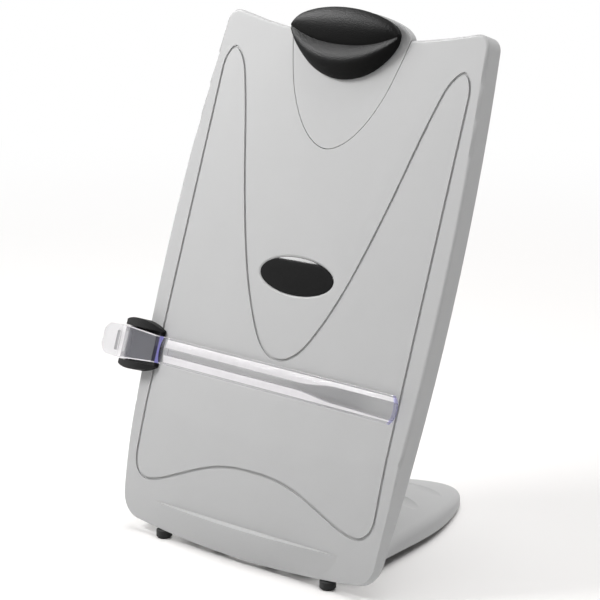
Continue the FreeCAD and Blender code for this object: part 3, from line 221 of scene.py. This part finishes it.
def guideMasks(finish, streaks):
    size = lineGuide
    fine, plain, wide = size["fine"], size["plain"], size["wide"]
    across = finish.along(acrossFace)
    out = finish.along(outOfFace)
    onFace = finish.along(upFace) - size["middle"]
    onBar = onFace + size["droop"] * (across - size["droopStart"])
    bar = across.past(size["barStart"], fine)
    tab = 1 - across.past(size["saddleStart"], plain)
    saddle = (1 - bar) * (1 - tab)

    # the painted inner reflections along the bar, bright bands which narrow towards its end
    below = 0 - onBar
    upperInner = size["upperInner"] + size["narrowing"] * across.rise(size["upperNarrows"], size["narrowed"])
    lowerInner = (size["lowerInner"] + size["narrowing"] * across.rise(size["lowerNarrows"], size["narrowed"])
                  + size["tipNarrowing"] * across.rise(size["narrowed"], size["tip"]))
    upper = (onBar - upperInner).past(0, wide) * (1 - onBar.past(size["upperOuter"], plain))
    lower = (below - lowerInner).past(0, wide) * (1 - below.past(size["lowerOuter"], plain))
    reflectionBands = (upper + lower) * across.past(size["bandStart"], plain)

    # painted highlights where the moulded edges catch light, and the rib on the thumb tab
    bandEnd = across.band(size["bandStart"] - size["glowWidth"], size["bandStart"] + fine, fine)
    barRimHighlight = (abs(onBar).past(size["barEdge"], fine) + bandEnd) * bar
    saddleHalf = size["saddleEdge"] - size["saddleTaper"] * (across - size["saddleOuter"])
    saddleRimHighlight = ((abs(onFace) - saddleHalf).past(0, plain) * saddle
                 + across.band(size["stripeLeft"], size["stripeRight"], plain))
    pastRib = abs(onFace).past(size["ribReach"], fine)
    rib = across.band(size["ribLeft"], size["ribRight"], plain) * (1 - pastRib)

    # painted shade in the dark fold and a painted violet glint in the bend, and the same painted glint round
    # the bar's end
    fold = across.band(size["foldLeft"], size["foldRight"], fine)
    shade = fold * out.past(size["shadeLow"], plain) * (1 - out.past(size["shadeTop"], fine))
    fromEnd = finish.node("ShaderNodeCombineXYZ", inputs=(across - size["endCentre"], onBar))
    endRun = finish.node("ShaderNodeVectorMath", {"operation": "LENGTH"}, (fromEnd,), "Value")
    endGlint = endRun.past(size["endRadius"], plain) * across.past(size["endFrom"], 1) * size["endViolet"]
    violetGlint = fold * out.band(size["violetLow"], size["violetTop"], plain) + endGlint

    return dict(
        bar=bar, tab=tab, saddle=saddle, reflectionBands=reflectionBands, streakedReflections=reflectionBands * streaks, upperReflection=upper * bar,
        paintedHighlights=reflectionBands + size["barRimTone"] * barRimHighlight + saddleRimHighlight, barRimHighlight=barRimHighlight, saddleRimHighlight=saddleRimHighlight, rib=rib,
        shade=shade, violetGlint=violetGlint, thicker=across.rise(size["thickFrom"], size["thickTo"]),
        thinner=across.rise(size["thinFrom"], size["thinTo"]))


def clearPlastic():
    finish = Finish("clearPlastic", IOR=1.49, Specular_IOR_Level=lineGuide["shine"])
    streaks = finish.noise(lineGuide["streakScale"])
    masks = guideMasks(finish, streaks)
    colour = guideBase
    for name, layer in guideLayers.items():
        colour = finish.mix(masks[name], colour, layer)
    finish.feed("Base Color", colour)
    hiding = guideClearest
    for name, share in guideHiding.items():
        hiding = hiding + share * masks[name]
    finish.feed("Alpha", hiding)
    finish.feed("Roughness", lineGuide["roughness"] + lineGuide["spread"] * streaks)
    finish.bump(streaks, lineGuide["streakDepth"], lineGuide["streakStrength"])
    return finish.material


feet = dict(darkest=0.010, lightest=0.022, shine=0.35, dustScale=900, dustDepth=0.00008, dustStrength=0.6,
            roughness=0.62, spread=0.2)


def softRubber():
    finish = Finish("softRubber", Specular_IOR_Level=feet["shine"])
    dust = finish.noise(feet["dustScale"], 4.0)
    finish.tint(dust, grey(feet["darkest"]), grey(feet["lightest"]))
    finish.feed("Roughness", feet["roughness"] + feet["spread"] * dust)
    finish.bump(dust, feet["dustDepth"], feet["dustStrength"])
    return finish.material


# The plated screws, pins and springs, with fine lines drawn out along X
plated = dict(darkest=0.46, lightest=0.62, stretch=(60, 900, 900), lineScale=3.0, lineDepth=0.00003,
              lineStrength=0.4, roughness=0.24, spread=0.18)


def platedSteel():
    finish = Finish("platedSteel", Metallic=1.0)
    drawnOut = finish.node("ShaderNodeMapping", inputs={"Vector": finish.place(), "Scale": plated["stretch"]})
    lines = finish.node("ShaderNodeTexNoise", inputs={
        "Vector": drawnOut, "Scale": plated["lineScale"], "Detail": 3.0})
    finish.tint(lines, grey(plated["darkest"]), grey(plated["lightest"]))
    finish.feed("Roughness", plated["roughness"] + plated["spread"] * lines)
    finish.bump(lines, plated["lineDepth"], plated["lineStrength"])
    return finish.material


finishes = {
    "grey_shell": mouldedGrey("shellGrey", moulded["shellLevel"]),
    "satin_black": pebbledBlack(),
    "gloss_black": glossBlack(),
    "clear_plastic": clearPlastic(),
    "dark_plastic": mouldedGrey("trackGrey", moulded["trackLevel"]),
    "white_plastic": mouldedGrey("washerWhite", moulded["washerLevel"]),
    "rubber": softRubber(),
    "steel": platedSteel(),
}
print("finishes made")

for part in frame["record"]["subparts"]:
    shown = frame["nodes"][part["node"]]
    shown.data.materials.clear()
    shown.data.materials.append(finishes[part["material_slot"]])
frame["nodes"]["line_guide"].visible_shadow = False  # clear plastic leaves next to no shadow on the panel
print("nodes finished")

# The floor in metres: it fades to plain white where the camera sees it far from the object
ground = dict(size=40.0, fadeStart=0.45, fadeEnd=1.5, lightLevel=0.82, shownColour=(0.99, 0.975, 0.965, 1),
              roughness=0.9)
floorMesh = bmesh.new()
bmesh.ops.create_grid(floorMesh, x_segments=1, y_segments=1, size=ground["size"])
floorData = bpy.data.meshes.new("floor")
floorMesh.to_mesh(floorData)
floorMesh.free()
floor = bpy.data.objects.new("floor", floorData)
bpy.context.collection.objects.link(floor)
floorFinish = Finish(
    "paleFloor", Roughness=ground["roughness"], Specular_IOR_Level=0.0, Emission_Strength=1.0)
shownRays = floorFinish.backdropRays()
floorPlace = floorFinish.place()
fromObject = floorFinish.node("ShaderNodeVectorMath", {"operation": "LENGTH"}, (floorPlace,), "Value")
faded = fromObject.rise(ground["fadeStart"], ground["fadeEnd"]) * shownRays
nearColour = floorFinish.mix(shownRays, grey(ground["lightLevel"]), ground["shownColour"])
floorFinish.tint(faded, nearColour, grey(0.0))
floorFinish.feed("Emission Color", floorFinish.mix(faded, grey(0.0), grey(1.0)))
floorData.materials.append(floorFinish.material)

# The world is white where it is seen and dimmer where it lights the object
studio = dict(skyLevel=0.28)
world = bpy.data.worlds.new("studio")
bpy.context.scene.world = world
world.use_nodes = True
sky = Graph(world.node_tree)
background = world.node_tree.nodes["Background"]
background.inputs["Color"].default_value = grey(1.0)
skyStrength = studio["skyLevel"] + (1 - studio["skyLevel"]) * sky.backdropRays()
world.node_tree.links.new(skyStrength.socket, background.inputs["Strength"])


def addLight(name, kind, direction, place=(0, 0, 0), litRays=("diffuse", "glossy"), **settings):
    data = bpy.data.lights.new(name, kind)
    for key, value in settings.items():
        setattr(data, key, value)
    light = bpy.data.objects.new(name, data)
    turn = Vector(direction).to_track_quat("Z", "Y")
    light.matrix_world = Matrix.LocRotScale(Vector(place), turn, None)
    light.visible_diffuse = "diffuse" in litRays
    light.visible_glossy = "glossy" in litRays
    bpy.context.collection.objects.link(light)


lamps = dict(
    overheadLight=dict(kind="SUN", direction=(0.10, 0.25, 0.95), energy=2.0, angle=math.radians(55)),
    leftSoftbox=dict(
        kind="AREA", direction=(-0.45, -0.55, 0.60), place=(-0.42, -0.55, 0.71), litRays=("diffuse",),
        energy=4.3, size=0.30),
    glintPanel=dict(
        kind="AREA", direction=(-0.76, -0.33, 0.58), place=(-1.52, -0.66, 1.36), litRays=("glossy",),
        shape="ELLIPSE", energy=125, size=1.3, size_y=0.66))
for lampName, lamp in lamps.items():
    addLight(lampName, **lamp)

# The camera: its place in metres from the panel's foot, and the direction it looks in
view = dict(
    place=(0.9917, -0.9733, 0.4732), aim=(-0.6763, 0.7028, -0.2206), lens=150, sensorWidth=36, farEdge=100)
cameraData = bpy.data.cameras.new("camera")
cameraData.lens = view["lens"]
cameraData.sensor_width = view["sensorWidth"]
cameraData.clip_end = view["farEdge"]
camera = bpy.data.objects.new("camera", cameraData)
cameraPlace = Vector(view["place"]) + Vector((panelFoot.x, panelFoot.y, 0))
cameraTurn = Vector(view["aim"]).to_track_quat("-Z", "Y")
camera.matrix_world = Matrix.LocRotScale(cameraPlace, cameraTurn, None)
bpy.context.collection.objects.link(camera)
bpy.context.scene.camera = camera
bpy.context.scene.view_settings.view_transform = "Standard"
print("studio set")
